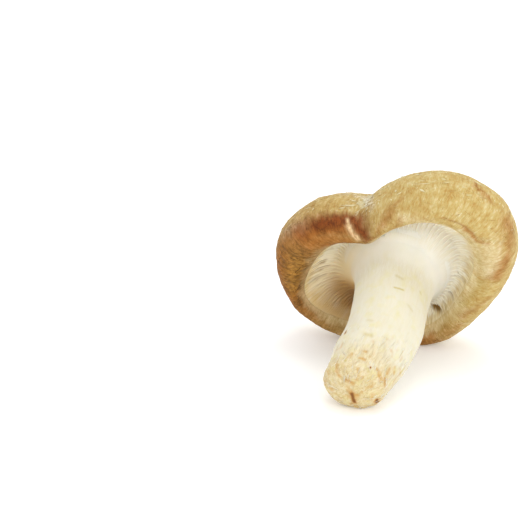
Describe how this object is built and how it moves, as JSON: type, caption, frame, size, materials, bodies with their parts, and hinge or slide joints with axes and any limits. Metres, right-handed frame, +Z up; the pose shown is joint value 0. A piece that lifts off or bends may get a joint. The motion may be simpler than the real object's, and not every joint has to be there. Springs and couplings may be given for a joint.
{
  "type": "shiitake mushroom",
  "caption": "Fresh shiitake mushroom lying on a table: lobed cap with a rolled margin, pale gills and a thick bowed stem with a torn end.",
  "frame": {"origin": "on the table, under the middle of the mushroom's bounding box as it lies", "axes": "+Z up from the table, +X to the right, +Y from the stem's end towards the cap, away from the front"},
  "size_m": [0.073, 0.0786, 0.06],
  "materials": {
    "cap_skin": "satin, finely fibrous, golden tan with red-brown bruises",
    "gills": "matte, ivory",
    "stem": "matte, fibrous, ivory to beige"
  },
  "bodies": {
    "root": {"mushroom": "cap_skin"}
  },
  "joints": []
}
